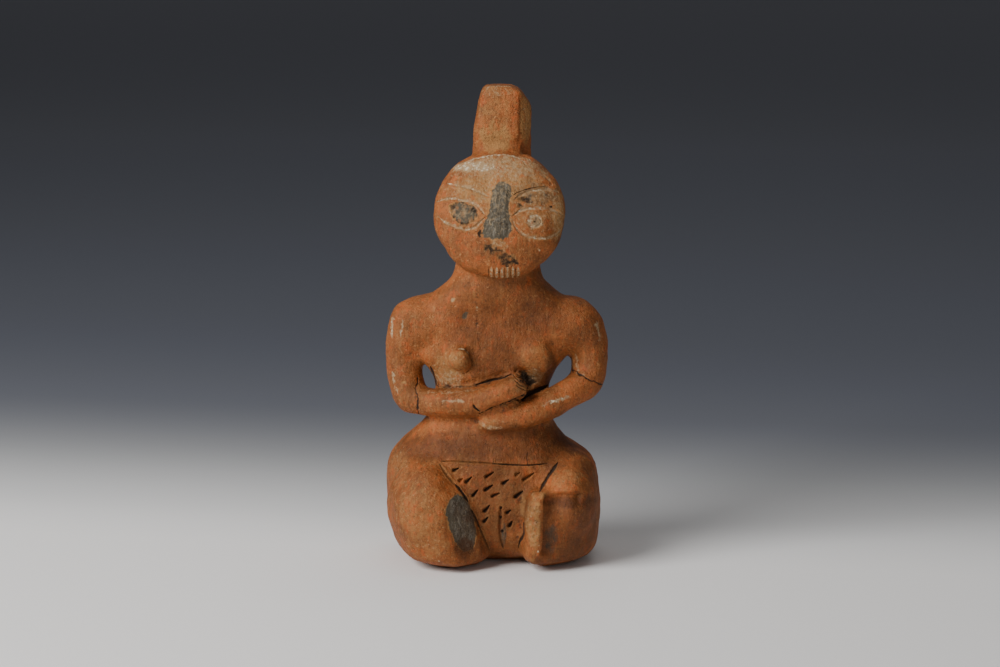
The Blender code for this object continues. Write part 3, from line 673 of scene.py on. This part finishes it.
# The broader ground, which changes colour only.
for sheet, x, z, across, up, pale, dull, grey, brown in GROUNDS:
    inside = eased(1.5 - from_middle(sheet, x, z, across, up) - 0.12 * wander) * shown
    lay("lime_and_highlight", pale * inside)
    lay("wear", dull * inside)
    lay("core", grey * inside)
    lay("stain_and_shade", brown * inside)

# The clay is pressed a little fuller into the open elbows, where the skin turns sideways:
# sheet, x, height and how far.
ELBOW_ACROSS = 6
ELBOW_UP = 9
ELBOWS = (
    (-8, -27.5, 79.0, 1.3),
    (-8, 27.0, 81.0, 0.8),
)
for sheet, x, z, fuller in ELBOWS:
    near = eased(1.5 - from_middle(sheet, x, z, ELBOW_ACROSS, ELBOW_UP))
    rise += fuller * near * abs(normals[:, 0])

# Rubbed high places have lost their gleam, and the hollows are darkened: how sharply the skin
# bulges comes from each point's neighbours, spread a few millimetres.
SPREADING_PASSES = 10
HARDLY_BENT = 0.03
clay.verts.index_update()
joined = np.array([[vert.index for vert in side.verts] for side in clay.edges])
neighbours = np.bincount(joined.ravel(), minlength=len(places))
bulge = np.zeros(len(places))
for here, there in ((0, 1), (1, 0)):
    away = places[joined[:, here]] - places[joined[:, there]]
    steep = np.sum(away * normals[joined[:, here]], axis=1) / np.sum(away**2, axis=1)
    np.add.at(bulge, joined[:, here], steep)
bulge /= neighbours
for _ in range(SPREADING_PASSES):
    total = np.zeros(len(places))
    np.add.at(total, joined[:, 0], bulge[joined[:, 1]])
    np.add.at(total, joined[:, 1], bulge[joined[:, 0]])
    bulge = (bulge + total / neighbours) / 2
lay("wear", 0.75 * eased((bulge - HARDLY_BENT) / 0.07) * (0.8 + 0.25 * wander))
lay("earth_and_shade", 0.5 * eased((-bulge - HARDLY_BENT) / 0.09) * (0.85 + 0.2 * wander))

# All that rises does so along the skin, and all cuts go in along the line of sight. The
# lowest two millimetres rise less and less, so that the figure still sits on the table.
SITTING_HEIGHT = 2
sitting = np.clip(places[:, 2] / SITTING_HEIGHT, 0, 1)
shift = normals * (rise * sitting)[:, None] + SIGHT * sink[:, None]

# The figure rests on the middle of its underside. The edge round it lifts off the table,
# most at the rim and less over the reach inwards and the height given here. The rim is
# found from the points in a narrow band above the table.
FOOT_LIFT = 1.7
FOOT_REACH = 7.0
FOOT_HEIGHT = 6.0
RIM_BAND = (0.5, 1.6)
heights = places[:, 2]
rim_points = places[(heights > RIM_BAND[0]) & (heights < RIM_BAND[1]), :2]
lowest = np.flatnonzero(heights < FOOT_HEIGHT)
inwards = np.array([np.linalg.norm(rim_points - spot, axis=1).min() for spot in places[lowest, :2]])
upwards = FOOT_LIFT * eased(1 - inwards / FOOT_REACH) * (1 - heights[lowest] / FOOT_HEIGHT)
shift[lowest, 2] += upwards

# The points move, and none leaves the solid's box.
for vert, move in zip(clay.verts, shift * MM):
    moved = vert.co + Vector(move)
    vert.co = Vector([min(max(c, least), most) for c, least, most in zip(moved, low, high)])
clay.to_mesh(figure.data)
clay.free()
figure.data.shade_smooth()
for name, amount in amounts.items():
    layer = figure.data.attributes.new(name, "FLOAT", "POINT")
    layer.data.foreach_set("value", np.clip(amount, 0, 1).astype(np.float32))


def linear(code):
    """An sRGB hex colour as linear light."""
    parts = [int(code[k : k + 2], 16) / 255 for k in (1, 3, 5)]
    return (*[p / 12.92 if p <= 0.04045 else ((p + 0.055) / 1.055) ** 2.4 for p in parts], 1)


def add(tree, kind, settings=(), links=()):
    """A node with its settings, its inputs' values and its links."""
    made = tree.nodes.new(kind)
    for name, value in dict(settings).items():
        if isinstance(name, str) and hasattr(made, name):
            setattr(made, name, value)
        else:
            made.inputs[name].default_value = value
    for name, source in dict(links).items():
        tree.links.new(source, made.inputs[name])
    return made


# Terracotta: iron-rich clay with a red slip, burnished by hand and fired low, then buried.
# To the eye: a soft waxy gleam on the burnished orange-brown, duller buff where it is worn,
# pale lime in the lines, black earth in the cuts and a grey core where it is broken.
METRE = 1000
terracotta = bpy.data.materials.new("burnished terracotta")
terracotta.use_nodes = True
nodes = terracotta.node_tree
nodes.nodes.clear()
where = add(nodes, "ShaderNodeTexCoord").outputs["Object"]
# The slip itself is two browns, in clouds of about 16 mm.
clouds = add(
    nodes,
    "ShaderNodeTexNoise",
    {"Scale": METRE / 16, "Detail": 4.0, "Roughness": 0.6},
    {"Vector": where},
)
slip = add(nodes, "ShaderNodeValToRGB", (), {"Fac": clouds.outputs["Fac"]})
slip.color_ramp.elements[0].position = 0.36
slip.color_ramp.elements[0].color = linear("#78421B")
slip.color_ramp.elements[1].position = 0.64
slip.color_ramp.elements[1].color = linear("#A05A2B")
colour = slip.outputs["Color"]

# What lies over the slip, from the fire to the soil: colour, blotch size in millimetres, how
# much taller than wide, detail, grit, where the pattern starts and is full, its strength,
# and the amount on the piece that it keeps to, if any. The real specks of soil, lime and
# grit are about 0.3 mm: they are drawn 1.2 to 1.5 mm wide, as finer ones would not show.
COATS = (
    # Brown clouds from the fire, buff strokes of the pebble, and dull buff where it is worn.
    ("#5E3D19", 24, 1, 6, 0.7, 0.46, 0.66, 0.48, ""),
    ("#AE7E4A", 1.8, 7, 4, 0.7, 0.5, 0.66, 0.25, ""),
    ("#A27545", 3, 1, 8, 0.85, 1.0, 1.35, 0.85, "wear"),
    # Orange blotches of the slip, and pale grit in it.
    ("#B45220", 3.6, 1.6, 6, 0.75, 0.53, 0.63, 0.5, ""),
    ("#C99562", 1.3, 1, 3, 0.75, 0.56, 0.7, 0.36, ""),
    # The grey core, and the pale and the black grains that show where it is broken.
    ("#544C3E", 2.2, 2, 4, 0.7, 0.85, 1.1, 1.0, "core"),
    ("#7E776A", 1.4, 2.5, 4, 0.8, 1.48, 1.62, 0.7, "core"),
    ("#231E17", 1.2, 3, 4, 0.8, 1.5, 1.62, 0.6, "core"),
    # Brown stain together with painted shade, and dark specks of soil all over.
    ("#4B270B", 7, 1, 6, 0.75, 0.7, 1.5, 0.88, "stain_and_shade"),
    ("#35200D", 1.2, 1, 4, 0.75, 0.52, 0.66, 0.5, ""),
    # Lime where it is thin and where it is thick, also laid as painted highlights, and the black
    # earth in the cuts, also laid as painted shade.
    ("#A38A68", 1.3, 1, 4, 0.75, 0.74, 0.96, 0.75, "lime_and_highlight"),
    ("#D2C4A8", 1.2, 1, 4, 0.75, 1.0, 1.12, 0.9, "lime_and_highlight"),
    ("#22160D", 1.2, 1, 5, 0.8, 0.75, 1.25, 0.95, "earth_and_shade"),
)
for code, size, tall, detail, grit, start, full, most, keeps_to in COATS:
    placed = add(
        nodes,
        "ShaderNodeMapping",
        {"Scale": (METRE / size, METRE / size, METRE / size / tall)},
        {"Vector": where},
    )
    noise = add(
        nodes,
        "ShaderNodeTexNoise",
        {"Scale": 1.0, "Detail": detail, "Roughness": grit},
        {"Vector": placed.outputs["Vector"]},
    )
    amount = noise.outputs["Fac"]
    if keeps_to:
        laid = add(nodes, "ShaderNodeAttribute", {"attribute_name": keeps_to}).outputs["Fac"]
        both = add(nodes, "ShaderNodeMath", {"operation": "ADD"}, {0: amount, 1: laid})
        amount = both.outputs["Value"]
    amount = add(
        nodes,
        "ShaderNodeMapRange",
        {"From Min": start, "From Max": full, "To Max": most},
        {"Value": amount},
    ).outputs["Result"]
    colour = add(
        nodes,
        "ShaderNodeMix",
        {"data_type": "RGBA", "B": linear(code)},
        {"Factor": amount, "A": colour},
    ).outputs["Result"]

# The surface in relief: grain, strokes of the pebble and small pits, each with its size in
# millimetres, how much taller than wide, where it starts and is full, and its height.
RELIEF = (
    (0.9, 1, 0.2, 0.8, 0.3),
    (2.0, 6, 0.35, 0.65, 0.1),
    (2.6, 1, 0.72, 0.58, 0.2),
)
normal = None
for size, tall, start, full, lift in RELIEF:
    placed = add(
        nodes,
        "ShaderNodeMapping",
        {"Scale": (METRE / size, METRE / size, METRE / size / tall)},
        {"Vector": where},
    )
    noise = add(
        nodes,
        "ShaderNodeTexNoise",
        {"Scale": 1.0, "Detail": 4.0, "Roughness": 0.65},
        {"Vector": placed.outputs["Vector"]},
    )
    height = add(
        nodes,
        "ShaderNodeMapRange",
        {"From Min": start, "From Max": full},
        {"Value": noise.outputs["Fac"]},
    )
    below = {"Normal": normal} if normal else {}
    bump = add(
        nodes,
        "ShaderNodeBump",
        {"Strength": 1.0, "Distance": lift * MM},
        {"Height": height.outputs["Result"], **below},
    )
    normal = bump.outputs["Normal"]

# The gleam of the burnish comes and goes over about 5 mm, and is lost where it is worn.
burnish = add(
    nodes,
    "ShaderNodeTexNoise",
    {"Scale": METRE / 5, "Detail": 3.0, "Roughness": 0.6},
    {"Vector": where},
)
gleam = add(
    nodes,
    "ShaderNodeMapRange",
    {"From Min": 0.3, "From Max": 0.7, "To Min": 0.5, "To Max": 0.64},
    {"Value": burnish.outputs["Fac"]},
)
worn = add(
    nodes,
    "ShaderNodeMapRange",
    {"To Min": 0.4, "To Max": 0.85},
    {"Value": add(nodes, "ShaderNodeAttribute", {"attribute_name": "wear"}).outputs["Fac"]},
)
roughness = add(
    nodes,
    "ShaderNodeMath",
    {"operation": "MAXIMUM"},
    {0: gleam.outputs["Result"], 1: worn.outputs["Result"]},
)
fired_clay = add(
    nodes,
    "ShaderNodeBsdfPrincipled",
    {"Metallic": 0.0, "IOR": 1.45, "Specular IOR Level": 0.3},
    {"Base Color": colour, "Roughness": roughness.outputs["Value"], "Normal": normal},
)
add(nodes, "ShaderNodeOutputMaterial", (), {"Surface": fired_clay.outputs["BSDF"]})
figure.data.materials.append(terracotta)

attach(figure, "root")
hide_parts("terracotta_figure")

# The floor: one sheet of matt studio paper, 12 metres wide and laid flat. It is pale where
# the figure stands and graduated to a dark blue-grey behind it, a little sooner on the
# right: painted shade, as the light falls off away from the soft box on the left. The stops
# are shares of the first four metres behind the figure.
FLOOR = 12
GRADUATED = 4.0
RIGHTWARD = 0.18
STOPS = (
    (0.0, "#F0EDEA"),
    (0.017, "#D8D7D6"),
    (0.044, "#868789"),
    (0.073, "#5A5D67"),
    (0.15, "#4F525B"),
    (0.4, "#5F626B"),
    (1.0, "#8A8C94"),
)
paper = bmesh.new()
bmesh.ops.create_grid(paper, x_segments=1, y_segments=1, size=FLOOR / 2)
floor_mesh = bpy.data.meshes.new("floor")
paper.to_mesh(floor_mesh)
paper.free()
floor = bpy.data.objects.new("floor", floor_mesh)
bpy.context.scene.collection.objects.link(floor)
matt = bpy.data.materials.new("graduated studio paper")
matt.use_nodes = True
nodes = matt.node_tree
nodes.nodes.clear()
where = add(nodes, "ShaderNodeTexCoord").outputs["Object"]
behind = add(
    nodes,
    "ShaderNodeVectorMath",
    {"operation": "DOT_PRODUCT", 1: (RIGHTWARD, 1.0, 0.0)},
    {0: where},
)
share = add(
    nodes,
    "ShaderNodeMapRange",
    {"From Max": GRADUATED},
    {"Value": behind.outputs["Value"]},
)
fade = add(nodes, "ShaderNodeValToRGB", (), {"Fac": share.outputs["Result"]})
ramp = fade.color_ramp
ramp.interpolation = "B_SPLINE"
ramp.elements[0].color = linear(STOPS[0][1])
ramp.elements[1].color = linear(STOPS[-1][1])
for position, code in STOPS[1:-1]:
    ramp.elements.new(position).color = linear(code)
paper_face = add(
    nodes,
    "ShaderNodeBsdfPrincipled",
    {"Roughness": 0.9},
    {"Base Color": fade.outputs["Color"]},
)
add(nodes, "ShaderNodeOutputMaterial", (), {"Surface": paper_face.outputs["BSDF"]})
floor_mesh.materials.append(matt)

# The lights: one big soft box on the left, and weak ones in front and overhead, each with
# its place, the width of its square in metres and its power in watts.
MIDDLE = Vector((0, 0, 0.0985))
for name, place, size, power in (
    ("soft box", (-0.93, -0.68, 0.82), 0.8, 26),
    ("weak fill", (0.5, -1.3, 0.45), 0.8, 2.2),
    ("top light", (0.2, 0.35, 1.3), 0.9, 3),
):
    data = bpy.data.lights.new(name, "AREA")
    data.size = size
    data.energy = power
    lamp = bpy.data.objects.new(name, data)
    lamp.location = place
    lamp.rotation_mode = "QUATERNION"
    lamp.rotation_quaternion = (MIDDLE - Vector(place)).to_track_quat("-Z", "Y")
    bpy.context.scene.collection.objects.link(lamp)

# The room gives a dim and even light of its own.
DIM_LIGHT = (0.106, 0.106, 0.11, 1)
sky = bpy.data.worlds.new("studio")
sky.use_nodes = True
sky.node_tree.nodes["Background"].inputs["Color"].default_value = DIM_LIGHT
bpy.context.scene.world = sky

# The camera: a long lens at the height of a seated viewer, ten degrees down.
CAMERA_DISTANCE = 1.164
lens = bpy.data.cameras.new("camera")
lens.lens = 100
lens.sensor_width = 36
lens.shift_x = 0.005
lens.shift_y = -0.0075
lens.clip_end = 100
camera = bpy.data.objects.new("camera", lens)
back = Vector((0, -math.cos(DOWN), math.sin(DOWN)))
camera.location = MIDDLE + back * CAMERA_DISTANCE
camera.rotation_mode = "QUATERNION"
camera.rotation_quaternion = (-back).to_track_quat("-Z", "Y")
bpy.context.scene.collection.objects.link(camera)
bpy.context.scene.camera = camera
